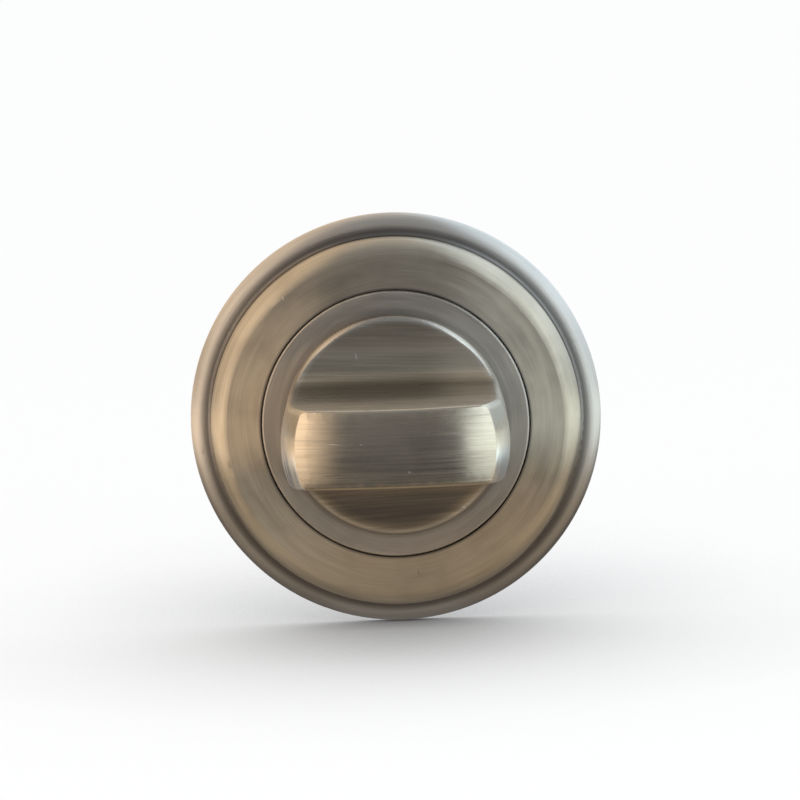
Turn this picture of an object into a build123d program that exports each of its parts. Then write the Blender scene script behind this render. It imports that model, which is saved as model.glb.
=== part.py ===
from build123d import *
import os
from math import degrees, radians, tan

# Bathroom thumbturn on a stepped round rose, in millimetres.
# The door's face is the plane y = 0 and the origin is the centre of the rose on it.
# The turn faces -Y and +Z is up. Heights are measured from the door's face towards the viewer.

# Outer rose: a stepped cover pressed from brass sheet
rose_radius = 26.0
rose_wall = 1.0
rim_width = 2.7
rim_height = 3.0
rim_round = 1.5
cove_round = 0.5
step_height = 4.2
step_round = 2.2
face_width = 6.35
face_fall = 0.25

# Inner rose: a drawn disc that fills the bore of the outer rose
disc_gap = 0.12
disc_wall = 0.8
disc_edge_round = 0.3
skirt_lift = 1.3

# Knob: a domed turning, scooped on two sides to leave a grip bar
knob_radius = 13.9
knob_height = 22.2
knob_lift = 0.3
side_inset = 1.8
side_curve = 5.15
front_rise = 1.45
bar_thickness = 9.5
scoop_rim = 1.7
scoop_draft = 3.0
scoop_fall = 4.0
scoop_round = 5.0
scoop_edge_round = 0.9
bar_edge_round = 0.35
knob_foot_round = 0.3

# Stem of the knob and the square spindle pinned into it
stem_radius = 5.0
stem_flat_depth = 0.8
stem_recess = 0.35
stem_tip = 0.7
spindle_size = 5.0
spindle_grip = 5.0
spindle_reach = 58.0
spindle_chamfer = 0.6
pin_radius = 1.0
pin_wall = 0.35
pin_slot = 0.5
pin_inset = 0.2

# Base plate: the die-cast fixing plate behind the outer rose
base_edge_chamfer = 0.6
core_wall = 1.3
core_roof = 1.4
core_count = 8
core_rib = 1.6

# Bush: the flanged bearing of the stem
bush_wall = 1.5
bush_flange = 2.45
bush_chamfer = 0.3

# Quarter-turn stop, spring washer and circlip in the pocket behind the hub
turn_angle = 90.0
pocket_room = 3.6
stop_thickness = 0.8
stop_tab_width = 3.0
stop_tab_reach = 2.6
spring_thickness = 0.4
spring_bow = 0.55
spring_slack = 0.25
circlip_thickness = 1.0
circlip_band = 1.4
circlip_offset = 0.4
circlip_gap = 2.6
circlip_lug_radius = 1.5
circlip_lug_hole = 0.75
groove_depth = 0.2

# Fixing screws: countersunk, under the outer rose
screw_edge = 4.4
screw_radius = 2.0
screw_head_radius = 3.75
screw_reach = 32.0
screw_tip_chamfer = 0.5
recess_span = 4.2
recess_width = 0.9
recess_depth = 1.2

# Clearances
seat_clearance = 0.05
running_clearance = 0.05
grip_clearance = 0.02
stop_clearance = 0.1
screw_clearance = 0.15
washer_clearance = 0.4
cut_margin = 1.0

# Rose, disc and knob: radii and heights that follow
step_radius = rose_radius - rim_width
rose_bore_radius = step_radius - face_width
disc_radius = rose_bore_radius - disc_gap
face_height = rim_height + step_height
hub_height = face_height - disc_wall
hub_radius = disc_radius - disc_wall - seat_clearance
knob_base = face_height + knob_lift
knob_front = knob_base + knob_height
front_edge_radius = knob_radius - side_inset
front_edge_height = knob_front - front_rise

# Base plate and screws
base_radius = rose_radius - rose_wall - 2 * seat_clearance
base_thickness = rim_height - rose_wall - 2 * seat_clearance
disc_skirt = hub_height - base_thickness - skirt_lift
screw_spacing = 2 * (base_radius - screw_edge)
screw_head_top = base_thickness - seat_clearance

# Stem and what is threaded on it, from its end by the door towards the knob
stem_end = stem_recess
circlip_back = stem_end + stem_tip + seat_clearance
circlip_front = circlip_back + circlip_thickness
spring_back = circlip_front + seat_clearance
spring_height = spring_thickness + spring_bow
stop_back = spring_back + spring_height + seat_clearance
stop_front = stop_back + stop_thickness
pocket_depth = stop_front + running_clearance
groove_radius = stem_radius - groove_depth
stem_flats = 2 * (stem_radius - stem_flat_depth)
socket_size = spindle_size + 2 * seat_clearance
spindle_front = knob_base + spindle_grip
pin_height = (pocket_depth + knob_base) / 2
pocket_radius = stem_radius + pocket_room
stop_radius = pocket_radius - washer_clearance
stop_tab_end = stop_radius + stop_tab_reach
tab_track = stop_tab_end + washer_clearance
bush_bore_radius = stem_radius + running_clearance
bush_tube_radius = bush_bore_radius + bush_wall
bush_flange_radius = bush_tube_radius + bush_flange

# Section plane through the axis, with local x as the radius and local y as the height
radial_section = Plane(origin=(0, 0, 0), x_dir=(1, 0, 0), z_dir=(0, 0, -1))

# Plane of the pin's section, at the height of its hole through stem and spindle
pin_plane = Plane(origin=(0, -pin_height, 0), x_dir=(1, 0, 0), z_dir=(0, 0, 1))

# Section plane across the grip bar, with local x upwards and local y as the height
bar_section = Plane(origin=(0, 0, 0), x_dir=(0, 0, 1), z_dir=(1, 0, 0))


def rose_outline(inset):
    """Half of the rose's stepped outline, filled, with every wall moved inwards by the inset."""
    rim_x = rose_radius - inset
    step_x = step_radius - inset
    rim_y = rim_height - inset
    face_y = face_height - inset
    rim_bend = max(rim_round - inset, 0)
    step_bend = max(step_round - inset, 0)
    with BuildSketch(radial_section) as outline:
        with BuildLine():
            FilletPolyline(
                (0, 0),
                (rim_x, 0),
                (rim_x, rim_y),
                (step_x, rim_y),
                (step_x, face_y - face_fall),
                (rose_bore_radius, face_y),
                (0, face_y),
                radius=(0, rim_bend, cove_round + inset, step_bend, 0),
            )
            Line((0, face_y), (0, 0))
        make_face()
    return outline.sketch


# Outer rose
with BuildPart() as outer_rose:
    revolve(rose_outline(0), axis=Axis.Y)
    revolve(rose_outline(rose_wall), axis=Axis.Y, mode=Mode.SUBTRACT)
    with BuildSketch(Plane.XZ):
        Circle(rose_bore_radius)
    extrude(amount=face_height + cut_margin, mode=Mode.SUBTRACT)

# Inner rose
with BuildPart() as inner_rose:
    with BuildSketch(Plane.XZ.offset(face_height)):
        Circle(disc_radius)
    extrude(amount=-disc_wall - disc_skirt)
    front_rim = inner_rose.edges().group_by(Axis.Y)[0]
    fillet(front_rim, radius=disc_edge_round)
    with BuildSketch(Plane.XZ.offset(hub_height)):
        Circle(disc_radius - disc_wall)
    extrude(amount=-disc_skirt, mode=Mode.SUBTRACT)
    with BuildSketch(Plane.XZ.offset(hub_height)):
        Circle(bush_flange_radius + seat_clearance)
    extrude(amount=disc_wall, mode=Mode.SUBTRACT)

# Base plate
with BuildPart() as base_plate:
    with BuildSketch(radial_section):
        with BuildLine():
            Polyline(
                (0, 0),
                (base_radius, 0),
                (base_radius, base_thickness - base_edge_chamfer),
                (base_radius - base_edge_chamfer, base_thickness),
                (hub_radius, base_thickness),
                (hub_radius, hub_height),
                (0, hub_height),
                close=True,
            )
        make_face()
    revolve(axis=Axis.Y)
    # Pocket of the retaining parts, widened over the quarter turn for the stop tab
    with BuildSketch(Plane.XZ):
        Circle(pocket_radius)
        with BuildLine():
            track = CenterArc((0, 0), tab_track, 90 - turn_angle / 2, turn_angle)
            Line((0, 0), track @ 0)
            Line(track @ 1, (0, 0))
        make_face()
        with PolarLocations(
            tab_track / 2, 2, 90 - turn_angle / 2, turn_angle, endpoint=True
        ):
            Rectangle(tab_track, stop_tab_width + 2 * stop_clearance)
    extrude(amount=pocket_depth, mode=Mode.SUBTRACT)
    with BuildSketch(Plane.XZ):
        Circle(bush_tube_radius + seat_clearance)
    extrude(amount=hub_height, mode=Mode.SUBTRACT)
    # Cored pockets between ribs inside the hub's wall
    core_width = hub_radius - tab_track - 2 * core_wall
    core_radius = hub_radius - core_wall - core_width / 2
    core_arc = 360 / core_count - degrees((core_rib + core_width) / core_radius)
    with BuildSketch(Plane.XZ):
        with PolarLocations(0, core_count):
            SlotArc(CenterArc((0, 0), core_radius, -core_arc / 2, core_arc), core_width)
    extrude(amount=hub_height - core_roof, mode=Mode.SUBTRACT)
    with Locations(Plane.XZ.offset(base_thickness)):
        with GridLocations(screw_spacing, screw_spacing, 2, 1):
            CounterSinkHole(
                screw_radius + screw_clearance,
                screw_head_radius + 2 * seat_clearance,
                counter_sink_angle=90,
            )

# Bush
with BuildPart() as bush:
    bush_top = knob_base - running_clearance
    bush_end = pocket_depth + seat_clearance
    with BuildSketch(radial_section):
        with BuildLine():
            Polyline(
                (bush_bore_radius, bush_end),
                (bush_tube_radius - bush_chamfer, bush_end),
                (bush_tube_radius, bush_end + bush_chamfer),
                (bush_tube_radius, hub_height),
                (bush_flange_radius, hub_height),
                (bush_flange_radius, bush_top - bush_chamfer),
                (bush_flange_radius - bush_chamfer, bush_top),
                (bush_bore_radius, bush_top),
                close=True,
            )
        make_face()
    revolve(axis=Axis.Y)

# Thumbturn: the knob and its stem in one piece
with BuildPart() as thumbturn:
    front_edge = (front_edge_radius, front_edge_height)
    with BuildSketch(radial_section):
        with BuildLine():
            Line((0, knob_front), (0, knob_base))
            foot = Line((0, knob_base), (knob_radius, knob_base))
            wall = Line(foot @ 1, (knob_radius, front_edge_height - side_curve))
            TangentArc(wall @ 1, front_edge, tangent=wall % 1)
            TangentArc((0, knob_front), front_edge, tangent=(1, 0))
        make_face()
    revolve(axis=Axis.Y)
    # Scoops above and below the bar: a steep wall, a hollow bend and a floor that falls to the rim
    bar_edge = (bar_thickness / 2, knob_front)
    scoop_end = (knob_radius, knob_base + scoop_rim)
    draft = tan(radians(scoop_draft))
    fall = tan(radians(scoop_fall))
    bend_drop = knob_front - scoop_end[1] - (knob_radius - bar_edge[0]) * fall
    bend_x = bar_edge[0] + bend_drop * draft / (1 - draft * fall)
    bend_y = scoop_end[1] + (knob_radius - bend_x) * fall
    with BuildSketch(bar_section):
        with BuildLine():
            FilletPolyline(bar_edge, (bend_x, bend_y), scoop_end, radius=scoop_round)
            Polyline(
                scoop_end,
                (knob_radius + cut_margin, knob_base + scoop_rim),
                (knob_radius + cut_margin, knob_front + cut_margin),
                (bar_thickness / 2, knob_front + cut_margin),
                bar_edge,
            )
        make_face()
        mirror(about=Plane.YZ)
    extrude(amount=knob_radius + cut_margin, both=True, mode=Mode.SUBTRACT)
    # Softened edges: broad where the scoops meet the side, fine about the bar's front and the foot
    front_edges = thumbturn.faces().sort_by(Axis.Y)[0].edges()
    side_edges = thumbturn.edges(Select.NEW).filter_by(lambda edge: edge not in front_edges)
    fillet(side_edges, radius=scoop_edge_round)
    fillet(thumbturn.faces().sort_by(Axis.Y)[0].edges(), radius=bar_edge_round)
    fillet(thumbturn.edges().group_by(Axis.Y)[-1], radius=knob_foot_round)
    # Stem with its flats, the groove of the circlip, the square socket and the cross hole
    with BuildSketch(Plane.XZ.offset(stem_end)):
        Circle(stem_radius)
    extrude(amount=knob_base - stem_end)
    with BuildSketch(Plane.XZ.offset(stem_end)):
        Circle(stem_radius + cut_margin)
        Rectangle(2 * stem_radius + 2 * cut_margin, stem_flats, mode=Mode.SUBTRACT)
    extrude(amount=pocket_depth - stem_end, mode=Mode.SUBTRACT)
    with BuildSketch(Plane.XZ.offset(circlip_back - seat_clearance)):
        Circle(stem_radius + cut_margin)
        Circle(groove_radius, mode=Mode.SUBTRACT)
    extrude(amount=circlip_thickness + 2 * seat_clearance, mode=Mode.SUBTRACT)
    with BuildSketch(Plane.XZ.offset(stem_end)):
        Rectangle(socket_size, socket_size)
    extrude(amount=spindle_front + seat_clearance - stem_end, mode=Mode.SUBTRACT)
    with BuildSketch(pin_plane):
        Circle(pin_radius + grip_clearance)
    extrude(amount=stem_radius, both=True, mode=Mode.SUBTRACT)

# Spindle
with BuildPart() as spindle:
    with BuildSketch(Plane.XZ.offset(-spindle_reach)):
        Rectangle(spindle_size, spindle_size)
    extrude(amount=spindle_reach + spindle_front)
    end_faces = spindle.faces().filter_by(Axis.Y)
    chamfer(end_faces.edges(), length=spindle_chamfer)
    with BuildSketch(pin_plane):
        Circle(pin_radius + grip_clearance)
    extrude(amount=stem_radius, both=True, mode=Mode.SUBTRACT)

# Spindle pin: a slotted spring pin
with BuildPart() as spindle_pin:
    with BuildSketch(pin_plane):
        Circle(pin_radius)
        Circle(pin_radius - pin_wall, mode=Mode.SUBTRACT)
        with Locations((0, pin_radius)):
            Rectangle(pin_slot, 2 * pin_radius, mode=Mode.SUBTRACT)
    extrude(amount=stem_radius - pin_inset, both=True)

# Stop washer: keyed to the stem, its tab drawn where it lies with the bar across
with BuildPart() as stop_washer:
    with BuildSketch(Plane.XZ.offset(stop_back)):
        Circle(stop_radius)
        with PolarLocations(stop_tab_end / 2, 1, 90 + turn_angle / 2):
            Rectangle(stop_tab_end, stop_tab_width)
    extrude(amount=stop_thickness)
    with BuildSketch(Plane.XZ.offset(stop_back)):
        Circle(stem_radius + seat_clearance)
        Rectangle(2 * pocket_radius, stem_flats + 2 * seat_clearance, mode=Mode.INTERSECT)
    extrude(amount=stop_thickness, mode=Mode.SUBTRACT)

# Spring washer: a flat ring bowed about the X axis
with BuildPart() as spring_washer:
    spring_bore = stem_radius + spring_slack
    spring_rim = stop_radius - spring_slack
    bow_radius = (spring_rim**2 + spring_bow**2) / (2 * spring_bow)
    with BuildSketch(bar_section):
        with Locations((0, spring_back + bow_radius)):
            Circle(bow_radius)
            Circle(bow_radius - spring_thickness, mode=Mode.SUBTRACT)
    extrude(amount=spring_rim, both=True)
    with BuildSketch(Plane.XZ.offset(spring_back)):
        Circle(spring_rim)
        Circle(spring_bore, mode=Mode.SUBTRACT)
    extrude(amount=2 * spring_height, mode=Mode.INTERSECT)

# Circlip: thickest opposite its gap, with a lug and a tool hole at each end
with BuildPart() as circlip:
    lug_distance = groove_radius + circlip_lug_radius
    lug_angle = degrees((circlip_gap / 2 + circlip_lug_radius) / lug_distance)
    with BuildSketch(Plane.XZ.offset(circlip_back)):
        with Locations((0, circlip_offset)):
            Circle(groove_radius + circlip_band)
        with PolarLocations(lug_distance, 2, -90 - lug_angle, 2 * lug_angle, endpoint=True):
            Circle(circlip_lug_radius)
        with Locations((0, -lug_distance)):
            Rectangle(circlip_gap, 2 * lug_distance, mode=Mode.SUBTRACT)
        with PolarLocations(lug_distance, 2, -90 - lug_angle, 2 * lug_angle, endpoint=True):
            Circle(circlip_lug_hole, mode=Mode.SUBTRACT)
        Circle(groove_radius + grip_clearance, mode=Mode.SUBTRACT)
    extrude(amount=circlip_thickness)

# Fixing screws: one screw, set twice
with BuildPart() as screw:
    head_depth = screw_head_radius - screw_radius
    with BuildSketch(radial_section):
        with BuildLine():
            Polyline(
                (0, screw_head_top),
                (screw_head_radius, screw_head_top),
                (screw_radius, screw_head_top - head_depth),
                (screw_radius, screw_tip_chamfer - screw_reach),
                (screw_radius - screw_tip_chamfer, -screw_reach),
                (0, -screw_reach),
                close=True,
            )
        make_face()
    revolve(axis=Axis.Y)
    with BuildSketch(Plane.XZ.offset(screw_head_top)):
        Rectangle(recess_span, recess_width)
        Rectangle(recess_width, recess_span)
    extrude(amount=-recess_depth, mode=Mode.SUBTRACT)

with BuildPart() as fixing_screws:
    with Locations((-screw_spacing / 2, 0, 0), (screw_spacing / 2, 0, 0)):
        add(screw.part)

# Every piece in its own file
os.makedirs("parts", exist_ok=True)
outer_rose.part.label = "outer_rose"
export_step(outer_rose.part, "parts/outer_rose.step")
inner_rose.part.label = "inner_rose"
export_step(inner_rose.part, "parts/inner_rose.step")
base_plate.part.label = "base_plate"
export_step(base_plate.part, "parts/base_plate.step")
bush.part.label = "bush"
export_step(bush.part, "parts/bush.step")
thumbturn.part.label = "thumbturn"
export_step(thumbturn.part, "parts/thumbturn.step")
spindle.part.label = "spindle"
export_step(spindle.part, "parts/spindle.step")
spindle_pin.part.label = "spindle_pin"
export_step(spindle_pin.part, "parts/spindle_pin.step")
stop_washer.part.label = "stop_washer"
export_step(stop_washer.part, "parts/stop_washer.step")
spring_washer.part.label = "spring_washer"
export_step(spring_washer.part, "parts/spring_washer.step")
circlip.part.label = "circlip"
export_step(circlip.part, "parts/circlip.step")
fixing_screws.part.label = "fixing_screws"
export_step(fixing_screws.part, "parts/fixing_screws.step")
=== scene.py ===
import math
from typing import NamedTuple

import bmesh
import bpy
from bpy.props import FloatProperty, FloatVectorProperty, IntProperty, PointerProperty
from mathutils import Matrix, Vector


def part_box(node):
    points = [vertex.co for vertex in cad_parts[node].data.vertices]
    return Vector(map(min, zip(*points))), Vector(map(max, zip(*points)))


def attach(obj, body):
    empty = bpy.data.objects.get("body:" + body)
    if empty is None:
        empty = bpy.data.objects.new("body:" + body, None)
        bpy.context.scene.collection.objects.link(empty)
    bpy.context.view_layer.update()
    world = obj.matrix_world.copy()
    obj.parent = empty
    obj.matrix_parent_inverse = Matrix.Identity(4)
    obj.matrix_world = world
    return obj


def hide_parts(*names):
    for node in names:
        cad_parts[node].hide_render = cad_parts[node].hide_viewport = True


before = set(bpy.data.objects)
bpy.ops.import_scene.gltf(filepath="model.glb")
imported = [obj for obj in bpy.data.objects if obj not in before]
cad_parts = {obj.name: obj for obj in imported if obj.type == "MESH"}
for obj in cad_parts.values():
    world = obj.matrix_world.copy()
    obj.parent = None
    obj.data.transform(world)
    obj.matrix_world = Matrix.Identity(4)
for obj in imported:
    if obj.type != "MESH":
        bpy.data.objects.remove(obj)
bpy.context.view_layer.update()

bl_info = {
    "name": "Bathroom Thumbturn",
    "version": (1, 0, 0),
    "blender": (4, 5, 0),
    "location": "View3D > Sidebar > Thumbturn",
    "description": "Brushed antique brass, threaded screws and a stage for a bathroom thumbturn",
    "category": "Object",
}

MILLIMETRE = 0.001
MERGE_DISTANCE = 1e-7
KNOB_SHARP_ANGLE = math.radians(25)
SCREW_SHARP_ANGLE = math.radians(28)

# Where the lamps stand and how broad they are, in metres and radians
LAMP_WIDTH = 0.30
LAMP_HEIGHT = 0.50
LAMP_DISTANCE = 0.6
LAMP_ELEVATION = math.radians(8)
LEFT_LAMP_AZIMUTH = math.radians(-38)
RIGHT_LAMP_AZIMUTH = math.radians(36)

# How far the camera is shifted across and up, and how far the stage's sheets lie from the rose
CAMERA_SHIFT = (0.54 * MILLIMETRE, 3.0 * MILLIMETRE, 0.0)
FLOOR_DROP = 0.2 * MILLIMETRE
CARD_LIFT = 0.1 * MILLIMETRE

# Corners of the floor and of the card that only reflections see, in metres, and the whites behind
FLOOR_CORNERS = ((-4.0, -4.0), (4.0, 4.0))
CARD_CORNERS = ((-1.0, -1.5), (1.0, 0.3))
WHITE = (1.0, 1.0, 1.0, 1.0)
BRIGHT_WALL = (1.2, 1.2, 1.2, 1.0)

screw_low, screw_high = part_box("fixing_screws")
rose_low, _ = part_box("outer_rose")


class BrassFinish(bpy.types.PropertyGroup):
    """Colours and lustre of the antique brass."""

    brass: FloatVectorProperty(
        name="Brass", description="Brushed brass under its matt lacquer",
        subtype="COLOR", size=3, min=0, max=1, default=(0.40, 0.332, 0.250),
    )
    # The rubbed colour is real wear on the rose's shoulder and the disc's edge; on the knob it is a
    # painted highlight along the bar's upper front edge.
    rubbed: FloatVectorProperty(
        name="Rubbed edges", description="Golden metal where edges are rubbed bright",
        subtype="COLOR", size=3, min=0, max=1, default=(0.58, 0.49, 0.37),
    )
    # Patina is real tarnish in hollows and streaks, and is also painted as shade on the lower sides of
    # the rose's rim, along the bar's lower front edge and on the upper half of the bar's end walls.
    patina: FloatVectorProperty(
        name="Patina", description="Brown tarnish in hollows and streaks",
        subtype="COLOR", size=3, min=0, max=1, default=(0.146, 0.118, 0.084),
    )
    greyed: FloatVectorProperty(
        name="Greyed brass", description="Violet grey tarnish on the rim, in the cove and on the disc",
        subtype="COLOR", size=3, min=0, max=1, default=(0.510, 0.460, 0.415),
    )
    # The crease colour is real dark residue in dark scratches, the step's crease and the cove, and also
    # painted shade there, at the gap round the disc, round the knob's foot and in a band deep in the
    # lower scoop; over the disc it gives a darker tone.
    crease: FloatVectorProperty(
        name="Crease", description="Dark residue in the crease and deep in the scoops",
        subtype="COLOR", size=3, min=0, max=1, default=(0.070, 0.062, 0.060),
    )
    # The fleck colour is real specks and bright scratches, and a painted highlight on the lower half of
    # the bar's end walls.
    fleck_and_highlight: FloatVectorProperty(
        name="Fleck", description="Specks, bright scratches and rubbed ends of the bar",
        subtype="COLOR", size=3, min=0, max=1, default=(0.86, 0.84, 0.80),
    )
    wear: FloatProperty(
        name="Wear", description="Strength of the specks and scratches",
        subtype="FACTOR", min=0, max=1, default=0.55,
    )
    roughness: FloatProperty(
        name="Roughness", description="Roughness of the brushed metal",
        subtype="FACTOR", min=0.05, max=1, default=0.34,
    )
    brushing: FloatProperty(
        name="Brushing", description="How far the brushing stretches highlights",
        subtype="FACTOR", min=0, max=1, default=0.86,
    )


class WorksFinish(bpy.types.PropertyGroup):
    """Colours of the fixings and of the works behind the rose."""

    zinc: FloatVectorProperty(
        name="Die-cast zinc", description="Base plate, as cast",
        subtype="COLOR", size=3, min=0, max=1, default=(0.50, 0.51, 0.52),
    )
    nylon: FloatVectorProperty(
        name="Nylon", description="Moulded bush",
        subtype="COLOR", size=3, min=0, max=1, default=(0.80, 0.78, 0.71),
    )
    plated: FloatVectorProperty(
        name="Plated steel", description="Spindle, stop washer and screws",
        subtype="COLOR", size=3, min=0, max=1, default=(0.62, 0.64, 0.66),
    )
    spring: FloatVectorProperty(
        name="Spring steel", description="Spring washer, circlip and pin",
        subtype="COLOR", size=3, min=0, max=1, default=(0.16, 0.16, 0.17),
    )


class ScrewSizes(bpy.types.PropertyGroup):
    """Sizes of the two fixing screws."""

    shank_radius: FloatProperty(
        name="Shank radius", description="Outer radius of the thread",
        subtype="DISTANCE", unit="LENGTH", default=2.0 * MILLIMETRE,
    )
    pitch: FloatProperty(
        name="Pitch", description="Advance of the thread in one turn",
        subtype="DISTANCE", unit="LENGTH", default=0.7 * MILLIMETRE,
    )
    thread_depth: FloatProperty(
        name="Thread depth", description="From the crest to the root",
        subtype="DISTANCE", unit="LENGTH", default=0.40 * MILLIMETRE,
    )
    head_radius: FloatProperty(
        name="Head radius", description="Radius of the countersunk head",
        subtype="DISTANCE", unit="LENGTH", default=screw_high.z,
    )
    head_top: FloatProperty(
        name="Head top", description="Where the head's flat top lies",
        subtype="DISTANCE", unit="LENGTH", default=screw_low.y,
    )
    reach: FloatProperty(
        name="Reach", description="How far the screw stands behind the door's face",
        subtype="DISTANCE", unit="LENGTH", default=screw_high.y,
    )
    spacing: FloatProperty(
        name="Spacing", description="Distance between the two screws",
        subtype="DISTANCE", unit="LENGTH", default=2 * (screw_high.x - screw_high.z),
    )
    tip_chamfer: FloatProperty(
        name="Tip chamfer", description="Chamfer at the screw's end",
        subtype="DISTANCE", unit="LENGTH", default=0.5 * MILLIMETRE,
    )
    recess_span: FloatProperty(
        name="Recess span", description="Length of each arm pair of the driver recess",
        subtype="DISTANCE", unit="LENGTH", default=4.2 * MILLIMETRE,
    )
    recess_width: FloatProperty(
        name="Recess width", description="Width of the recess's arms",
        subtype="DISTANCE", unit="LENGTH", default=0.9 * MILLIMETRE,
    )
    recess_depth: FloatProperty(
        name="Recess depth", description="Depth of the driver recess",
        subtype="DISTANCE", unit="LENGTH", default=1.2 * MILLIMETRE,
    )
    segments: IntProperty(
        name="Segments", description="Steps in one turn of the thread",
        min=12, max=64, default=32,
    )


class StageSettings(bpy.types.PropertyGroup):
    """Camera, lamps and floor."""

    distance: FloatProperty(
        name="Camera distance", description="From the rose's face to the camera",
        subtype="DISTANCE", unit="LENGTH", default=0.470,
    )
    elevation: FloatProperty(
        name="Camera elevation", description="Height of the view above the turn's axis",
        subtype="ANGLE", unit="ROTATION", default=math.radians(7.5),
    )
    azimuth: FloatProperty(
        name="Camera azimuth", description="Sideways turn of the view",
        subtype="ANGLE", unit="ROTATION", default=math.radians(0.3),
    )
    roll: FloatProperty(
        name="Camera roll", description="Tilt of the camera about its own line of sight",
        subtype="ANGLE", unit="ROTATION", default=math.radians(-2.1),
    )
    lens: FloatProperty(
        name="Lens", description="Focal length in millimetres", min=20, max=400, default=168.8,
    )
    left_lamp: FloatVectorProperty(
        name="Left lamp", description="Colour of the warm lamp",
        subtype="COLOR", size=3, min=0, max=1, default=(1.0, 0.87, 0.72),
    )
    right_lamp: FloatVectorProperty(
        name="Right lamp", description="Colour of the daylight lamp",
        subtype="COLOR", size=3, min=0, max=1, default=(0.76, 0.92, 1.0),
    )
    left_power: FloatProperty(
        name="Left power", description="Power of the warm lamp", unit="POWER", default=0.65,
    )
    right_power: FloatProperty(
        name="Right power", description="Power of the daylight lamp", unit="POWER", default=0.65,
    )
    horizon: FloatVectorProperty(
        name="Horizon", description="Far room that the front reflects above the table",
        subtype="COLOR", size=3, min=0, max=1, default=(0.43, 0.46, 0.51),
    )
    room: FloatVectorProperty(
        name="Room", description="Dim floor that the front reflects",
        subtype="COLOR", size=3, min=0, max=1, default=(0.11, 0.13, 0.165),
    )
    glow: FloatVectorProperty(
        name="Glow", description="Warm wall that the left sides reflect",
        subtype="COLOR", size=3, min=0, max=3, default=(1.25, 1.08, 0.88),
    )
    daylight: FloatVectorProperty(
        name="Daylight", description="Window that the right sides reflect",
        subtype="COLOR", size=3, min=0, max=3, default=(1.45, 1.82, 2.20),
    )
    ceiling: FloatVectorProperty(
        name="Ceiling", description="Pale ceiling that upper rounds reflect",
        subtype="COLOR", size=3, min=0, max=1, default=(0.49, 0.56, 0.63),
    )
    table: FloatVectorProperty(
        name="Table", description="Warm table that the lower rounds reflect",
        subtype="COLOR", size=3, min=0, max=1, default=(0.98, 0.85, 0.66),
    )
    floor: FloatVectorProperty(
        name="Floor", description="Colour of the floor",
        subtype="COLOR", size=3, min=0, max=1, default=(0.90, 0.90, 0.90),
    )


class Nodes:
    """Adds and links the nodes of one material or world."""

    def __init__(self, owner):
        owner.use_nodes = True
        self.tree = owner.node_tree
        self.tree.nodes.clear()

    def add(self, kind, inputs=None, **settings):
        """A new node with its settings, and its inputs fed by name or number."""
        node = self.tree.nodes.new(kind)
        for name, value in settings.items():
            setattr(node, name, value)
        for name, value in (inputs or {}).items():
            self.feed(node.inputs[name], value)
        return node

    def feed(self, socket, value):
        """Links a socket, or sets its own value."""
        if isinstance(value, bpy.types.NodeSocket):
            self.tree.links.new(value, socket)
        else:
            socket.default_value = value

    def math(self, operation, *values):
        """The result of a Math node."""
        node = self.add("ShaderNodeMath", dict(enumerate(values)), operation=operation)
        return node.outputs[0]

    def vector(self, operation, *values):
        """The vector result of a Vector Math node."""
        node = self.add("ShaderNodeVectorMath", dict(enumerate(values)), operation=operation)
        return node.outputs["Vector"]

    def length(self, value):
        """The length of a vector."""
        node = self.add("ShaderNodeVectorMath", {0: value}, operation="LENGTH")
        return node.outputs["Value"]

    def dot(self, first, second):
        """The dot product of two vectors."""
        node = self.add("ShaderNodeVectorMath", {0: first, 1: second}, operation="DOT_PRODUCT")
        return node.outputs["Value"]

    def combine(self, x, y, z):
        """A vector from three values."""
        return self.add("ShaderNodeCombineXYZ", {0: x, 1: y, 2: z}).outputs[0]

    def separate(self, value):
        """The three values of a vector."""
        return list(self.add("ShaderNodeSeparateXYZ", {0: value}).outputs)

    def fade(self, value, start, end, low=0.0, high=1.0):
        """A smooth step of a value, from low at start to high at end."""
        inputs = {"Value": value, "From Min": start, "From Max": end, "To Min": low, "To Max": high}
        node = self.add("ShaderNodeMapRange", inputs, interpolation_type="SMOOTHSTEP")
        return node.outputs["Result"]

    def noise(self, vector, scale, detail=2.0, roughness=0.5):
        """A noise value at a vector."""
        inputs = {"Vector": vector, "Scale": scale, "Detail": detail, "Roughness": roughness}
        return self.add("ShaderNodeTexNoise", inputs).outputs["Fac"]

    def mix(self, share, first, second):
        """A mix of two colours."""
        node = self.add("ShaderNodeMix", data_type="RGBA")
        self.feed(node.inputs["Factor"], share)
        self.feed(node.inputs[6], first)
        self.feed(node.inputs[7], second)
        return node.outputs[2]

    def blend(self, share, first, second):
        """A mix of two values."""
        node = self.add("ShaderNodeMix", {"Factor": share, 2: first, 3: second}, data_type="FLOAT")
        return node.outputs[0]

    def steer(self, share, first, second):
        """A mix of two vectors."""
        node = self.add("ShaderNodeMix", {"Factor": share, 4: first, 5: second}, data_type="VECTOR")
        return node.outputs[1]

    def shade(self, colour, factor):
        """A colour made lighter or darker by a factor."""
        return self.vector("MULTIPLY", colour, self.combine(factor, factor, factor))

    def both(self, first, second):
        """The share that two shares have in common."""
        return self.math("MULTIPLY", first, second)

    def show(self, surface, output="ShaderNodeOutputMaterial"):
        """Links a surface to the output."""
        self.add(output, {"Surface": surface})


def opaque(colour):
    """A property's colour with its fourth value."""
    return (*colour, 1.0)


class Place:
    """The place of a surface point in millimetres, as nodes share it."""

    def __init__(self, nodes):
        texture = nodes.add("ShaderNodeTexCoord")
        self.object = nodes.vector("MULTIPLY", texture.outputs["Object"], (1000, 1000, 1000))
        self.normal = texture.outputs["Normal"]
        self.x, depth, self.z = nodes.separate(self.object)
        self.height = nodes.math("MULTIPLY", depth, -1.0)
        flat = nodes.combine(self.x, 0.0, self.z)
        self.radius = nodes.length(flat)
        self.outward = nodes.vector("NORMALIZE", flat)


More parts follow.
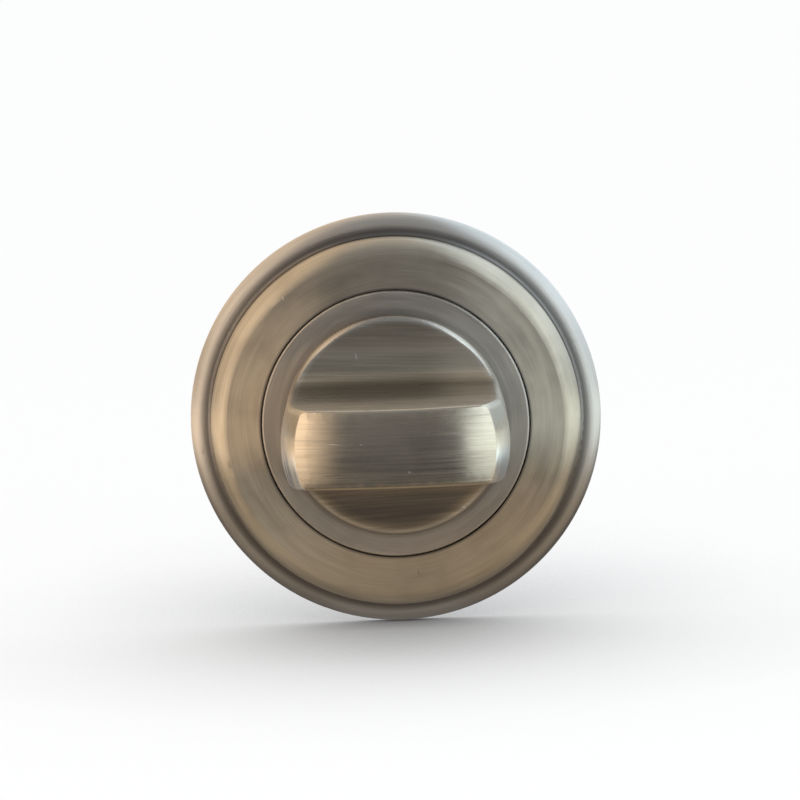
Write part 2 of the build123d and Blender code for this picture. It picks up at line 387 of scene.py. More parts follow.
class Ring(NamedTuple):
    """A ring about the axis, in millimetres, with how far it reaches and how strong it is."""

    radius: float
    height: float
    reach: float
    amount: float


def near_rings(nodes, place, rings):
    """The strongest share of several rings, each fading to nought at its reach."""
    share = 0.0
    for ring in rings:
        across = nodes.math("SUBTRACT", place.radius, ring.radius)
        above = nodes.math("SUBTRACT", place.height, ring.height)
        gap = nodes.length(nodes.combine(across, above, 0.0))
        near = nodes.fade(gap, 0.25 * ring.reach, ring.reach, ring.amount, 0.0)
        share = nodes.math("MAXIMUM", share, near)
    return share


class Mark(NamedTuple):
    """A speck or scratch on a front surface, in millimetres and degrees."""

    x: float
    z: float
    length: float
    width: float
    turn: float
    bright: bool


def marked(nodes, place, colour, marks, finish):
    """A colour with specks and scratches on it."""
    for mark in marks:
        inputs = {
            "Vector": place.object,
            "Location": (mark.x, 0.0, mark.z),
            "Rotation": (0.0, math.radians(mark.turn), 0.0),
            "Scale": (mark.length / 2, 1000.0, mark.width / 2),
        }
        mapping = nodes.add("ShaderNodeMapping", inputs, vector_type="TEXTURE")
        gap = nodes.length(mapping.outputs[0])
        share = nodes.fade(gap, 0.3, 1.0, finish.wear, 0.0)
        share = nodes.both(share, nodes.fade(place.height, 5.5, 6.5))
        tone = finish.fleck_and_highlight if mark.bright else finish.crease
        colour = nodes.mix(share, colour, opaque(tone))
    return colour


def brush_tangent(nodes, place, stroke):
    """The direction across the brush strokes, in which highlights stretch."""
    across = nodes.vector("CROSS_PRODUCT", place.normal, stroke)
    turned = nodes.add(
        "ShaderNodeVectorTransform", {0: across},
        vector_type="VECTOR", convert_from="OBJECT", convert_to="WORLD",
    )
    return nodes.vector("NORMALIZE", turned.outputs[0])


def round_strokes(nodes, place, across, along):
    """Coordinates for strokes that run round the axis."""
    outline = nodes.math("SUBTRACT", place.radius, place.height)
    side_x, _, side_z = nodes.separate(place.outward)
    return nodes.combine(
        nodes.math("MULTIPLY", outline, across),
        nodes.math("MULTIPLY", side_x, along),
        nodes.math("MULTIPLY", side_z, along),
    )


def brass_shader(nodes, brushing, colour, roughness, height, tangent):
    """Brushed metal, with its bump and brushing, linked to the output; the matt lacquer is not modelled
    as a coat.
    """
    bump = nodes.add("ShaderNodeBump", {"Strength": 0.14, "Distance": 0.00002, "Height": height})
    shader = nodes.add("ShaderNodeBsdfPrincipled")
    nodes.feed(shader.inputs["Base Color"], colour)
    nodes.feed(shader.inputs["Metallic"], 1.0)
    nodes.feed(shader.inputs["Roughness"], roughness)
    nodes.feed(shader.inputs["Anisotropic"], brushing)
    nodes.feed(shader.inputs["Tangent"], tangent)
    nodes.feed(shader.inputs["Normal"], bump.outputs[0])
    nodes.show(shader.outputs[0])


def turned_brass(name, finish, brushing, dulled, greyed, creased, rubbed, marks):
    """Brass brushed round the axis, with rings of tarnish, rings of dark residue and painted shade,
    rings of rubbed metal, and painted shade on the lower sides of the rim.
    """
    material = bpy.data.materials.new(name)
    nodes = Nodes(material)
    place = Place(nodes)
    fine = nodes.noise(round_strokes(nodes, place, 7.0, 3.0), 1.0, 3.0, 0.6)
    broad = nodes.noise(round_strokes(nodes, place, 0.9, 2.0), 1.0, 2.0)
    cloud = nodes.noise(place.object, 0.11, 3.0, 0.55)
    tarnish = nodes.fade(cloud, 0.42, 0.72, 0.0, 0.30)
    colour = nodes.mix(tarnish, opaque(finish.brass), opaque(finish.patina))
    grey = nodes.math("MAXIMUM", dulled, near_rings(nodes, place, greyed))
    colour = nodes.mix(grey, colour, opaque(finish.greyed))
    # Painted shade: patina darkens the bead and cove low down at the sides.
    aside = nodes.math("ABSOLUTE", place.x)
    lower_rim_shade = nodes.both(nodes.fade(place.z, -3.0, -14.0), nodes.fade(aside, 4.0, 13.0))
    lower_rim_shade = nodes.both(lower_rim_shade, nodes.fade(place.height, 5.5, 3.0, 0.0, 0.40))
    colour = nodes.mix(lower_rim_shade, colour, opaque(finish.patina))
    # The creased rings are dark residue together with painted shade in creases, hollows and gaps.
    colour = nodes.mix(near_rings(nodes, place, creased), colour, opaque(finish.crease))
    rub = nodes.both(near_rings(nodes, place, rubbed), nodes.fade(broad, 0.25, 0.75, 0.4, 1.0))
    colour = nodes.mix(rub, colour, opaque(finish.rubbed))
    grain = nodes.fade(fine, 0.3, 0.7, -0.07, 0.07)
    grain = nodes.math("ADD", grain, nodes.fade(broad, 0.3, 0.7, 0.94, 1.06))
    colour = nodes.shade(colour, grain)
    colour = marked(nodes, place, colour, marks, finish)
    roughness = nodes.fade(broad, 0.25, 0.75, finish.roughness - 0.03, finish.roughness + 0.05)
    roughness = nodes.math("ADD", roughness, nodes.math("MULTIPLY", grey, 0.14))
    roughness = nodes.math("ADD", roughness, nodes.math("MULTIPLY", rub, 0.35))
    stroke = nodes.vector("CROSS_PRODUCT", place.outward, (0.0, 1.0, 0.0))
    brass_shader(nodes, brushing, colour, roughness, fine, brush_tangent(nodes, place, stroke))
    return material


def scoop_tarnish(nodes, place, side):
    """Shares of brown patina, of a band of painted shade deep in the lower scoop, and of rubbed rim in
    the two scoops.
    """
    scooped = nodes.fade(side, 4.7, 5.3)
    above = nodes.fade(place.z, -1.0, 1.0)
    below = nodes.math("SUBTRACT", 1.0, above)
    bend = nodes.both(nodes.fade(place.height, 29.0, 20.0), nodes.fade(place.z, 10.9, 8.2))
    bend = nodes.both(bend, nodes.fade(place.height, 10.0, 17.0, 0.65, 0.90))
    brown = nodes.math("MAXIMUM", bend, nodes.fade(place.z, 9.8, 12.2, 0.35, 0.65))
    upper = nodes.fade(place.x, 3.0, 9.5, 1.0, 0.30)
    lower = nodes.fade(place.x, 3.0, 9.0, 0.85, 0.65)
    brown = nodes.both(brown, nodes.both(upper, above))
    brown = nodes.math("MAXIMUM", brown, nodes.both(lower, below))
    # Painted shade: a band deep in the lower scoop only, in the crease colour.
    shelf = nodes.both(nodes.fade(place.z, -7.0, -9.0), nodes.fade(place.radius, 13.6, 11.8))
    dark = nodes.math("MULTIPLY", nodes.both(shelf, below), 0.8)
    rim = nodes.fade(place.radius, 12.7, 13.5, 0.0, 0.35)
    return [nodes.both(scooped, share) for share in (brown, dark, rim)]


def knob_strokes(nodes, place, side, front, wall):
    """Fine brush strokes and broad streaks, along the bar and round the knob's wall."""
    slant = nodes.math("MULTIPLY", place.x, 0.05)
    scoop_section = nodes.math("ADD", nodes.math("SUBTRACT", side, place.height), slant)
    section = nodes.blend(front, scoop_section, place.z)
    straight = nodes.combine(
        nodes.math("MULTIPLY", place.x, 0.10), nodes.math("MULTIPLY", section, 6.0), side,
    )
    strokes = nodes.steer(wall, straight, round_strokes(nodes, place, 6.0, 3.0))
    long_place = nodes.combine(
        nodes.math("MULTIPLY", place.x, 0.06), nodes.math("MULTIPLY", section, 1.8), 7.0,
    )
    streak_place = nodes.steer(wall, long_place, round_strokes(nodes, place, 1.2, 0.5))
    return nodes.noise(strokes, 1.0, 3.0, 0.6), nodes.noise(streak_place, 1.0, 2.0, 0.6)


def knob_brass(name, finish, marks):
    """Brass brushed along the bar, with dark streaks and tarnished scoops, a painted highlight on the
    bar's upper front edge, painted shade on its lower front edge, and end walls painted lighter below
    and darker above.
    """
    material = bpy.data.materials.new(name)
    nodes = Nodes(material)
    place = Place(nodes)
    side = nodes.math("ABSOLUTE", place.z)
    front = nodes.both(nodes.fade(place.height, 27.0, 28.0), nodes.fade(side, 4.9, 4.7))
    facing_out = nodes.fade(nodes.dot(place.normal, place.outward), 0.55, 0.75)
    wall = nodes.both(facing_out, nodes.fade(place.radius, 11.4, 11.9))
    fine, streaks = knob_strokes(nodes, place, side, front, wall)
    cloud = nodes.noise(place.object, 0.13, 3.0, 0.55)
    brown, dark, rim = scoop_tarnish(nodes, place, side)
    brown = nodes.both(brown, nodes.fade(streaks, 0.30, 0.66, 0.72, 1.05))
    streaky = nodes.both(nodes.fade(streaks, 0.58, 0.74), nodes.fade(wall, 0.0, 1.0, 0.32, 0.0))
    # Painted shade on the bar's lower front edge in patina, and a painted highlight on its upper front
    # edge in the rubbed colour with patchy variation.
    near_front = nodes.fade(place.height, 27.2, 28.4)
    lower_edge_shade = nodes.both(nodes.fade(place.z, -4.2, -4.6, 0.0, 0.7), near_front)
    upper_edge_highlight = nodes.both(nodes.fade(place.z, 4.25, 4.60), near_front)
    # On the bar's end walls: a painted highlight on their lower half in the fleck colour, and painted
    # shade on their upper half in patina.
    ends = nodes.both(wall, nodes.fade(side, 5.6, 5.0))
    lower_end_highlight = nodes.both(ends, nodes.fade(place.z, 0.3, -2.0, 0.0, 0.5))
    upper_end_shade = nodes.both(ends, nodes.fade(place.z, -0.5, 1.0, 0.0, 0.3))
    tarnish = nodes.fade(cloud, 0.42, 0.72, 0.0, 0.25)
    for share in (brown, streaky, lower_edge_shade, upper_end_shade):
        tarnish = nodes.math("MAXIMUM", tarnish, share)
    rub = nodes.both(upper_edge_highlight, nodes.fade(cloud, 0.3, 0.7, 0.10, 0.35))
    colour = nodes.mix(tarnish, opaque(finish.brass), opaque(finish.patina))
    colour = nodes.mix(dark, colour, opaque(finish.crease))
    colour = nodes.mix(rim, colour, opaque(finish.greyed))
    colour = nodes.mix(rub, colour, opaque(finish.rubbed))
    colour = nodes.mix(lower_end_highlight, colour, opaque(finish.fleck_and_highlight))
    depth = nodes.fade(wall, 0.0, 1.0, 0.07, 0.03)
    grain = nodes.math("MULTIPLY", nodes.fade(fine, 0.3, 0.7, -1.0, 1.0), depth)
    colour = nodes.shade(colour, nodes.math("ADD", grain, 1.0))
    colour = marked(nodes, place, colour, marks, finish)
    roughness = nodes.fade(streaks, 0.3, 0.7, finish.roughness - 0.08, finish.roughness)
    roughness = nodes.math("SUBTRACT", roughness, nodes.math("MULTIPLY", front, 0.06))
    round_stroke = nodes.vector("CROSS_PRODUCT", place.outward, (0.0, 1.0, 0.0))
    stroke = nodes.steer(wall, (1.0, 0.0, 0.0), round_stroke)
    tangent = brush_tangent(nodes, place, stroke)
    brass_shader(nodes, finish.brushing, colour, roughness, fine, tangent)
    return material


def grained_metal(name, colour, roughness, grain_scale, bump_depth, spread, stretch=1.0):
    """Bare or plated metal with a grain that may be drawn along the spindle, and cloudy patches."""
    material = bpy.data.materials.new(name)
    nodes = Nodes(material)
    place = Place(nodes)
    drawn = nodes.vector("MULTIPLY", place.object, (1.0, stretch, 1.0))
    grain = nodes.noise(drawn, grain_scale, 1.0, 0.5)
    cloud = nodes.noise(place.object, 0.25, 1.0, 0.5)
    shade = nodes.fade(grain, 0.3, 0.7, -spread, spread)
    shade = nodes.math("ADD", shade, nodes.fade(cloud, 0.3, 0.7, 0.95, 1.04))
    colour = nodes.shade(tuple(colour), shade)
    rough = nodes.fade(cloud, 0.3, 0.7, roughness - 0.03, roughness + 0.04)
    bump = nodes.add("ShaderNodeBump", {"Strength": 0.15, "Distance": bump_depth, "Height": grain})
    shader = nodes.add("ShaderNodeBsdfPrincipled")
    nodes.feed(shader.inputs["Base Color"], colour)
    nodes.feed(shader.inputs["Metallic"], 1.0)
    nodes.feed(shader.inputs["Roughness"], rough)
    nodes.feed(shader.inputs["Normal"], bump.outputs[0])
    nodes.show(shader.outputs[0])
    return material


def moulded_nylon(name, colour):
    """Pale nylon with a fine moulded grain."""
    material = bpy.data.materials.new(name)
    nodes = Nodes(material)
    place = Place(nodes)
    grain = nodes.noise(place.object, 6.0, 3.0, 0.5)
    cloud = nodes.noise(place.object, 0.3, 2.0)
    tone = nodes.shade(tuple(colour), nodes.fade(cloud, 0.3, 0.7, 0.93, 1.04))
    bump = nodes.add("ShaderNodeBump", {"Strength": 0.25, "Distance": 0.00003, "Height": grain})
    shader = nodes.add("ShaderNodeBsdfPrincipled")
    nodes.feed(shader.inputs["Base Color"], tone)
    nodes.feed(shader.inputs["Roughness"], nodes.fade(grain, 0.3, 0.7, 0.42, 0.55))
    nodes.feed(shader.inputs["Subsurface Weight"], 0.15)
    nodes.feed(shader.inputs["Subsurface Scale"], 0.0005)
    nodes.feed(shader.inputs["Normal"], bump.outputs[0])
    nodes.show(shader.outputs[0])
    return material


def finish_node(name, material):
    """Gives a solid of the frame its material."""
    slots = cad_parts[name].data.materials
    slots.clear()
    slots.append(material)


def linked_object(name, mesh):
    """A new object at the origin, linked to the scene."""
    piece = bpy.data.objects.new(name, mesh)
    bpy.context.scene.collection.objects.link(piece)
    return piece


class THUMBTURN_OT_knob(bpy.types.Operator):
    """Make the knob as one welded mesh with even shading, in brushed antique brass"""

    bl_idname = "thumbturn.knob"
    bl_label = "Make the Knob"

    def execute(self, context):
        bm = bmesh.new()
        bm.from_mesh(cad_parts["thumbturn"].data)
        bmesh.ops.remove_doubles(bm, verts=bm.verts[:], dist=MERGE_DISTANCE)
        bmesh.ops.recalc_face_normals(bm, faces=bm.faces[:])
        mesh = bpy.data.meshes.new("knob")
        bm.to_mesh(mesh)
        bm.free()
        mesh.attributes.remove(mesh.attributes["custom_normal"])
        mesh.polygons.foreach_set("use_smooth", [True] * len(mesh.polygons))
        mesh.set_sharp_from_angle(angle=KNOB_SHARP_ANGLE)
        marks = (
            Mark(x=1.6, z=-2.8, length=0.55, width=0.42, turn=0.0, bright=True),
            Mark(x=-7.3, z=0.8, length=2.6, width=0.12, turn=4.0, bright=True),
            Mark(x=-4.1, z=0.7, length=0.5, width=0.14, turn=0.0, bright=True),
            Mark(x=-7.6, z=-3.0, length=3.2, width=0.14, turn=-3.0, bright=False),
            Mark(x=-4.6, z=9.0, length=1.2, width=0.12, turn=75.0, bright=True),
            Mark(x=8.1, z=-10.5, length=0.8, width=0.12, turn=40.0, bright=True),
        )
        finish = context.scene.thumbturn_brass
        mesh.materials.append(knob_brass("knob_brass", finish, marks))
        knob = linked_object("knob", mesh)
        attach(knob, "turn")
        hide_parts("thumbturn")
        return {"FINISHED"}


class THUMBTURN_OT_brass(bpy.types.Operator):
    """Finish the rose and its face disc in brushed antique brass"""

    bl_idname = "thumbturn.brass"
    bl_label = "Finish the Brass"

    def execute(self, context):
        finish = context.scene.thumbturn_brass
        bead = Ring(radius=24.9, height=2.2, reach=2.6, amount=0.68)
        # At the step's root and in the cove these rings are residue and painted shade; at the gap round
        # the disc the ring is painted shade.
        step_root = Ring(radius=23.3, height=3.4, reach=0.5, amount=0.9)
        cove = Ring(radius=23.6, height=3.2, reach=1.25, amount=0.72)
        gap_shade = Ring(radius=16.95, height=7.2, reach=0.3, amount=0.6)
        shoulder = Ring(radius=22.6, height=6.3, reach=1.3, amount=0.25)
        rose_marks = (
            Mark(x=-13.5, z=16.3, length=0.7, width=0.2, turn=70.0, bright=True),
            Mark(x=2.2, z=-19.0, length=1.1, width=0.16, turn=80.0, bright=False),
        )
        rose = turned_brass(
            "rose_brass", finish, finish.brushing, dulled=0.0, greyed=(bead,),
            creased=(step_root, cove, gap_shade), rubbed=(shoulder,), marks=rose_marks,
        )
        # Painted shadow of the knob on the disc round its foot; the disc_face ring is a darker tone
        # over the whole disc.
        knob_foot_shadow = Ring(radius=13.9, height=7.2, reach=1.4, amount=0.50)
        disc_face = Ring(radius=15.4, height=7.2, reach=6.0, amount=0.34)
        disc_edge = Ring(radius=16.8, height=7.0, reach=0.4, amount=0.25)
        disc = turned_brass(
            "disc_brass", finish, 0.6 * finish.brushing, dulled=0.40, greyed=(),
            creased=(knob_foot_shadow, disc_face), rubbed=(disc_edge,), marks=(),
        )
        finish_node("outer_rose", rose)
        finish_node("inner_rose", disc)
        return {"FINISHED"}


class THUMBTURN_OT_works(bpy.types.Operator):
    """Finish the base plate, bush, spindle and the retaining parts behind the rose"""

    bl_idname = "thumbturn.works"
    bl_label = "Finish the Works"

    def execute(self, context):
        finish = context.scene.thumbturn_works
        zinc = grained_metal(
            "cast_zinc", finish.zinc, roughness=0.52, grain_scale=2.2, bump_depth=0.00005, spread=0.10,
        )
        drawn = grained_metal(
            "drawn_plated_steel", finish.plated, roughness=0.30, grain_scale=5.0,
            bump_depth=0.00001, spread=0.07, stretch=0.04,
        )
        plated = grained_metal(
            "plated_steel", finish.plated, roughness=0.32, grain_scale=3.0,
            bump_depth=0.00001, spread=0.05,
        )
        spring = grained_metal(
            "oiled_spring_steel", finish.spring, roughness=0.38, grain_scale=3.5,
            bump_depth=0.00002, spread=0.10,
        )
        finish_node("base_plate", zinc)
        finish_node("bush", moulded_nylon("moulded_nylon", finish.nylon))
        finish_node("spindle", drawn)
        finish_node("stop_washer", plated)
        for name in ("spindle_pin", "spring_washer", "circlip"):
            finish_node(name, spring)
        return {"FINISHED"}


def open_ring(bm, height):
    """The edges of an open ring at one place along the screw's axis."""
    return [
        edge for edge in bm.edges
        if edge.is_boundary and all(abs(vert.co.y - height) < MERGE_DISTANCE for vert in edge.verts)
    ]


def moved_ring(bm, ring, scale, step):
    """Extrudes an open ring along the axis and scales it."""
    grown = bmesh.ops.extrude_edge_only(bm, edges=ring)["geom"]
    verts = [item for item in grown if isinstance(item, bmesh.types.BMVert)]
    bmesh.ops.scale(bm, vec=(scale, 1.0, scale), verts=verts)
    bmesh.ops.translate(bm, vec=(0.0, step, 0.0), verts=verts)


def screw_head(bm, sizes, neck_radius, neck_end):
    """Countersunk head with its cross recess, and the plain neck below it."""
    turn = Matrix.Translation((0.0, sizes.head_top, 0.0)) @ Matrix.Rotation(math.pi / 2, 4, "X")
    bmesh.ops.create_circle(
        bm, cap_ends=True, segments=sizes.segments, radius=sizes.head_radius, matrix=turn,
    )
    half_span = sizes.recess_span / 2
    half_width = sizes.recess_width / 2
    for axis in (Vector((1, 0, 0)), Vector((0, 0, 1))):
        for offset in (-half_span, -half_width, half_width, half_span):
            bmesh.ops.bisect_plane(
                bm, geom=bm.verts[:] + bm.edges[:] + bm.faces[:], plane_co=axis * offset, plane_no=axis,
            )
    arms = []
    for face in bm.faces:
        centre = face.calc_center_median()
        near, far = sorted((abs(centre.x), abs(centre.z)))
        if near < half_width and far < half_span:
            arms.append(face)
    sunk = bmesh.ops.extrude_face_region(bm, geom=arms)["geom"]
    floor_verts = [item for item in sunk if isinstance(item, bmesh.types.BMVert)]
    bmesh.ops.translate(bm, vec=(0.0, sizes.recess_depth, 0.0), verts=floor_verts)
    bmesh.ops.delete(bm, geom=[face for face in arms if face.is_valid], context="FACES")
    head_depth = sizes.head_radius - neck_radius
    moved_ring(bm, open_ring(bm, sizes.head_top), neck_radius / sizes.head_radius, head_depth)
    head_end = sizes.head_top + head_depth
    moved_ring(bm, open_ring(bm, head_end), 1.0, neck_end - head_end)


def screw_thread(bm, sizes, neck_end):
    """One turn's profile spun into a thread, cut square at both ends and chamfered at its tip."""
    crest = sizes.shank_radius
    root = crest - sizes.thread_depth
    start = neck_end - sizes.pitch
    turns = math.ceil((sizes.reach - start) / sizes.pitch) + 1
    profile = ((root, 0.0), (root, 0.125), (crest, 0.50), (crest, 0.625), (root, 1.0))
    verts = [bm.verts.new((radius, start + share * sizes.pitch, 0.0)) for radius, share in profile]
    edges = [bm.edges.new(pair) for pair in zip(verts, verts[1:])]
    bmesh.ops.spin(
        bm, geom=verts + edges, axis=(0.0, 1.0, 0.0), cent=(0.0, 0.0, 0.0),
        dvec=(0.0, sizes.pitch / sizes.segments, 0.0), angle=2 * math.pi * turns,
        steps=turns * sizes.segments,
    )
    bmesh.ops.remove_doubles(bm, verts=bm.verts[:], dist=MERGE_DISTANCE)
    for place, clear in ((neck_end, -1.0), (sizes.reach, 1.0)):
        bmesh.ops.bisect_plane(
            bm, geom=bm.verts[:] + bm.edges[:] + bm.faces[:], plane_co=(0.0, place, 0.0),
            plane_no=(0.0, clear, 0.0), clear_outer=True,
        )
    for vert in bm.verts:
        flat = Vector((vert.co.x, 0.0, vert.co.z))
        limit = crest - max(0.0, vert.co.y - (sizes.reach - sizes.tip_chamfer))
        if flat.length > limit:
            vert.co = flat * (limit / flat.length) + Vector((0.0, vert.co.y, 0.0))


class THUMBTURN_OT_screws(bpy.types.Operator):
    """Make the two fixing screws with real threads in place of the plain ones"""

    bl_idname = "thumbturn.screws"
    bl_label = "Make the Fixing Screws"

    def execute(self, context):
        sizes = context.scene.thumbturn_screws
        neck_radius = sizes.shank_radius - sizes.thread_depth / 2
        neck_end = sizes.head_top + sizes.head_radius - neck_radius + sizes.pitch
        bm = bmesh.new()
        screw_thread(bm, sizes, neck_end)
        bmesh.ops.holes_fill(bm, edges=open_ring(bm, sizes.reach), sides=0)
        head = bmesh.new()
        screw_head(head, sizes, neck_radius, neck_end)
        head_mesh = bpy.data.meshes.new("screw_head")
        head.to_mesh(head_mesh)
        head.free()
        bm.from_mesh(head_mesh)
        bpy.data.meshes.remove(head_mesh)
        bmesh.ops.bridge_loops(bm, edges=open_ring(bm, neck_end))
        bmesh.ops.recalc_face_normals(bm, faces=bm.faces[:])
        first = bm.verts[:] + bm.edges[:] + bm.faces[:]
        copied = bmesh.ops.duplicate(bm, geom=first)["geom"]
        copied_verts = [item for item in copied if isinstance(item, bmesh.types.BMVert)]
        first_verts = [item for item in first if isinstance(item, bmesh.types.BMVert)]
        bmesh.ops.translate(bm, vec=(-sizes.spacing / 2, 0.0, 0.0), verts=first_verts)
        bmesh.ops.translate(bm, vec=(sizes.spacing / 2, 0.0, 0.0), verts=copied_verts)
        open_edges = sum(not edge.is_manifold for edge in bm.edges)
        if open_edges:
            raise RuntimeError(f"the screws' mesh has {open_edges} open edges")
        mesh = bpy.data.meshes.new("threaded_screws")
        bm.to_mesh(mesh)
        bm.free()
        mesh.polygons.foreach_set("use_smooth", [True] * len(mesh.polygons))
        mesh.set_sharp_from_angle(angle=SCREW_SHARP_ANGLE)
        finish = context.scene.thumbturn_works
        steel = grained_metal(
            "plated_screw_steel", finish.plated, roughness=0.30, grain_scale=4.0,
            bump_depth=0.00001, spread=0.05,
        )
        mesh.materials.append(steel)
        screws = linked_object("threaded_screws", mesh)
        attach(screws, "rose")
        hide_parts("fixing_screws")
        return {"FINISHED"}


def aim(direction, roll):
    """A turn that looks along a direction, rolled about it."""
    return direction.to_track_quat("-Z", "Y") @ Matrix.Rotation(roll, 3, "Z").to_quaternion()


def heading(azimuth, elevation):
    """A unit vector from the turn towards a place in front of it."""
    level = math.cos(elevation)
    return Vector((math.sin(azimuth) * level, -math.cos(azimuth) * level, math.sin(elevation)))


def add_camera(stage):
    """The camera, aimed so that the rose stands near the middle of the picture."""
    back = heading(stage.azimuth, stage.elevation)
    face = Vector((0.0, rose_low.y, 0.0))
    turn = aim(-back, stage.roll)
    offset = turn @ Vector(CAMERA_SHIFT)
    data = bpy.data.cameras.new("camera")
    data.lens = stage.lens
    data.clip_start = 0.01
    camera = linked_object("camera", data)
    camera.location = face + back * stage.distance + offset
    camera.rotation_mode = "QUATERNION"
    camera.rotation_quaternion = turn
    bpy.context.scene.camera = camera


def add_lamp(name, azimuth, colour, power):
    """A broad soft lamp in front of the turn, facing it."""
    data = bpy.data.lights.new(name, "AREA")
    data.shape = "RECTANGLE"
    data.size = LAMP_WIDTH
    data.size_y = LAMP_HEIGHT
    data.color = colour
    data.energy = power
    lamp = linked_object(name, data)
    direction = heading(azimuth, LAMP_ELEVATION)
    lamp.location = direction * LAMP_DISTANCE
    lamp.rotation_mode = "QUATERNION"
    lamp.rotation_quaternion = aim(-direction, 0.0)


def add_world(stage):
    """White behind the turn, a dim room before it and a pale ceiling above it."""
    world = bpy.data.worlds.new("studio")
    bpy.context.scene.world = world
    nodes = Nodes(world)
    rays = nodes.add("ShaderNodeLightPath").outputs
    direction = nodes.add("ShaderNodeTexCoord").outputs["Generated"]
    side, depth, rise = nodes.separate(direction)
    above = nodes.fade(rise, 0.1, 0.8)
    colour = nodes.mix(above, opaque(stage.horizon), opaque(stage.ceiling))
    behind = nodes.fade(depth, -0.15, 0.25)
    colour = nodes.mix(behind, colour, BRIGHT_WALL)
    spread = nodes.math("MULTIPLY", nodes.math("MAXIMUM", depth, 0.0), 0.4)
    left = nodes.fade(nodes.math("SUBTRACT", side, spread), -0.22, -0.46)
    right = nodes.fade(nodes.math("ADD", side, spread), 0.32, 0.37)
    left = nodes.both(left, nodes.fade(side, 0.0, -0.1))
    right = nodes.both(right, nodes.fade(side, 0.0, 0.1))
    strength = nodes.fade(rise, 0.0, 0.5, 0.72, 1.15)
    colour = nodes.mix(left, colour, nodes.shade(tuple(stage.glow), strength))
    colour = nodes.mix(right, colour, nodes.shade(tuple(stage.daylight), strength))
    plain = nodes.math("MAXIMUM", rays["Is Camera Ray"], rays["Is Diffuse Ray"])
    colour = nodes.mix(plain, colour, WHITE)
    background = nodes.add("ShaderNodeBackground", {"Color": colour, "Strength": 1.0})
    nodes.show(background.outputs[0], "ShaderNodeOutputWorld")


def floor_material(colour):
    """A pale floor that stays white and keeps the shadow, with a painted contact shadow where ambient
    occlusion dims its glow.
    """
    material = bpy.data.materials.new("pale_floor")
    nodes = Nodes(material)
    rays = nodes.add("ShaderNodeLightPath").outputs
    seen = nodes.math("MAXIMUM", rays["Is Camera Ray"], rays["Is Glossy Ray"])
    seen = nodes.math("MAXIMUM", seen, rays["Is Transmission Ray"])
    # Painted contact shadow: ambient occlusion dims the floor's glow near the turn.
    open_sky = nodes.add("ShaderNodeAmbientOcclusion", {"Distance": 0.05}, samples=8).outputs["AO"]
    cover = nodes.add("ShaderNodeBsdfDiffuse", {"Color": opaque(colour)})
    glow = nodes.add("ShaderNodeEmission", {"Color": WHITE, "Strength": open_sky})
    share = nodes.math("MULTIPLY", seen, 0.7)
    surface = nodes.add("ShaderNodeMixShader", {0: share, 1: cover.outputs[0], 2: glow.outputs[0]})
    nodes.show(surface.outputs[0])
    return material


def card_material(stage):
    """A card that is warm before the turn, dim farther off and bright towards the lamps, and dim close
    under and behind the turn as painted shade.
    """
    material = bpy.data.materials.new("reflected_floor")
    nodes = Nodes(material)
    place = Place(nodes)
    forward = place.height
    # Close under and just behind the turn the card stays dim: painted shade standing in for the floor's
    # contact shadow in reflections.
    near = nodes.both(nodes.fade(forward, -8.0, 36.0), nodes.fade(forward, 80.0, 40.0))
    colour = nodes.mix(near, opaque(stage.room), opaque(stage.table))
    colour = nodes.mix(nodes.fade(forward, 300.0, 900.0), colour, opaque(stage.horizon))
    pale = nodes.shade(tuple(stage.horizon), 1.5)
    colour = nodes.mix(nodes.fade(forward, -50.0, -130.0), colour, pale)
    bearing = nodes.combine(place.x, nodes.math("ADD", forward, 10.0), 0.0)
    aside, _, _ = nodes.separate(nodes.vector("NORMALIZE", bearing))
    away = nodes.math("ADD", nodes.math("ABSOLUTE", place.x), nodes.math("MULTIPLY", forward, 0.5))
    away = nodes.fade(away, 70.0, 130.0)
    left = nodes.both(nodes.fade(aside, -0.24, -0.46), away)
    right = nodes.both(nodes.fade(aside, 0.302, 0.330), away)
    warm = nodes.shade(tuple(stage.left_lamp), nodes.fade(forward, -80.0, 180.0, 1.7, 2.8))
    cool = nodes.shade(tuple(stage.right_lamp), nodes.fade(forward, -80.0, 180.0, 2.5, 2.9))
    colour = nodes.mix(left, colour, warm)
    colour = nodes.mix(right, colour, cool)
    glow = nodes.add("ShaderNodeEmission", {"Color": colour, "Strength": 1.0})
    nodes.show(glow.outputs[0])
    return material


def stage_sheet(name, corners, height, material):
    """A flat sheet of the stage between two corners."""
    low, high = corners
    bm = bmesh.new()
    bmesh.ops.create_grid(bm, x_segments=1, y_segments=1, size=0.5)
    bmesh.ops.scale(bm, vec=(high[0] - low[0], high[1] - low[1], 1.0), verts=bm.verts[:])
    middle = ((high[0] + low[0]) / 2, (high[1] + low[1]) / 2, height)
    bmesh.ops.translate(bm, vec=middle, verts=bm.verts[:])
    mesh = bpy.data.meshes.new(name)
    bm.to_mesh(mesh)
    bm.free()
    mesh.materials.append(material)
    sheet = linked_object(name, mesh)
    return sheet


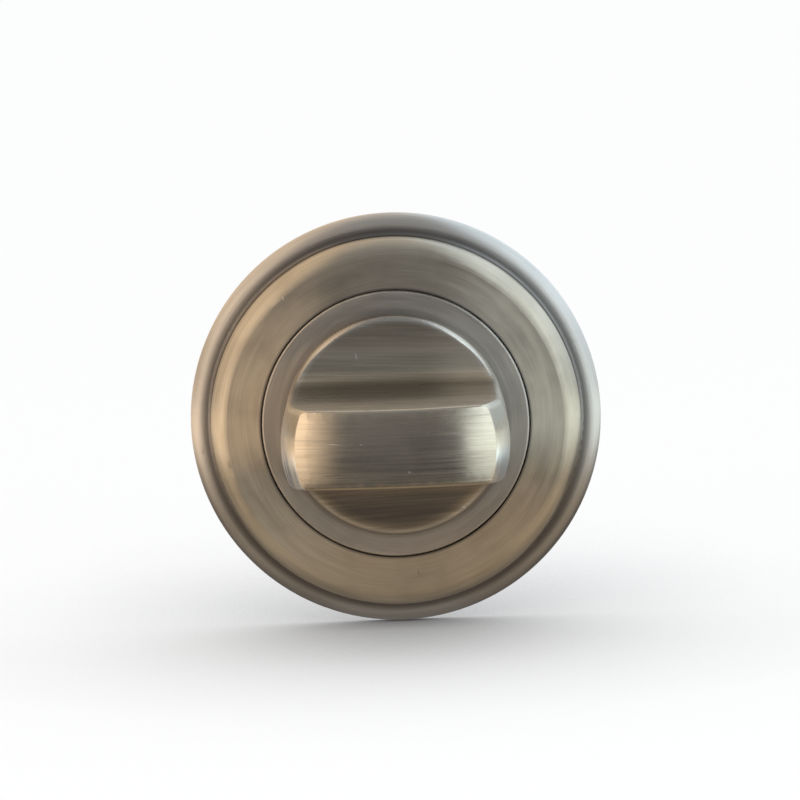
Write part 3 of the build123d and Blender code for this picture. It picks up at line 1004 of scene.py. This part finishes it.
class THUMBTURN_OT_stage(bpy.types.Operator):
    """Set the floor, the soft lamps, the world and the camera"""

    bl_idname = "thumbturn.stage"
    bl_label = "Set the Stage"

    def execute(self, context):
        stage = context.scene.thumbturn_stage
        level = rose_low.z - FLOOR_DROP
        stage_sheet("floor", FLOOR_CORNERS, level, floor_material(stage.floor))
        raised = level + CARD_LIFT
        card = stage_sheet("card", CARD_CORNERS, raised, card_material(stage))
        card.visible_camera = False
        card.visible_diffuse = False
        card.visible_shadow = False
        add_lamp("left_lamp", LEFT_LAMP_AZIMUTH, stage.left_lamp, stage.left_power)
        add_lamp("right_lamp", RIGHT_LAMP_AZIMUTH, stage.right_lamp, stage.right_power)
        add_world(stage)
        add_camera(stage)
        context.scene.view_settings.view_transform = "Standard"
        return {"FINISHED"}


class THUMBTURN_PT_panel(bpy.types.Panel):
    """Steps and sizes of the bathroom thumbturn"""

    bl_label = "Bathroom Thumbturn"
    bl_idname = "THUMBTURN_PT_panel"
    bl_space_type = "VIEW_3D"
    bl_region_type = "UI"
    bl_category = "Thumbturn"

    def draw(self, context):
        for name, operators, group in STEPS:
            box = self.layout.box()
            box.label(text=name)
            settings = getattr(context.scene, group)
            for key in settings.__annotations__:
                box.prop(settings, key)
            for operator in operators:
                box.operator(operator)


STEPS = (
    ("Brass", ("thumbturn.brass", "thumbturn.knob"), "thumbturn_brass"),
    ("Works", ("thumbturn.works",), "thumbturn_works"),
    ("Screws", ("thumbturn.screws",), "thumbturn_screws"),
    ("Stage", ("thumbturn.stage",), "thumbturn_stage"),
)

GROUPS = {
    "thumbturn_brass": BrassFinish,
    "thumbturn_works": WorksFinish,
    "thumbturn_screws": ScrewSizes,
    "thumbturn_stage": StageSettings,
}

CLASSES = (
    *GROUPS.values(),
    THUMBTURN_OT_brass,
    THUMBTURN_OT_knob,
    THUMBTURN_OT_works,
    THUMBTURN_OT_screws,
    THUMBTURN_OT_stage,
    THUMBTURN_PT_panel,
)


def register():
    """Registers the classes and hangs their settings on the scene."""
    for cls in CLASSES:
        bpy.utils.register_class(cls)
    for name, group in GROUPS.items():
        setattr(bpy.types.Scene, name, PointerProperty(type=group))


def unregister():
    """Takes the settings and the classes away again."""
    for name in GROUPS:
        delattr(bpy.types.Scene, name)
    for cls in reversed(CLASSES):
        bpy.utils.unregister_class(cls)


def main():
    """Runs every step in order."""
    register()
    bpy.ops.thumbturn.brass()
    bpy.ops.thumbturn.knob()
    bpy.ops.thumbturn.works()
    bpy.ops.thumbturn.screws()
    bpy.ops.thumbturn.stage()


if __name__ == "__main__":
    main()
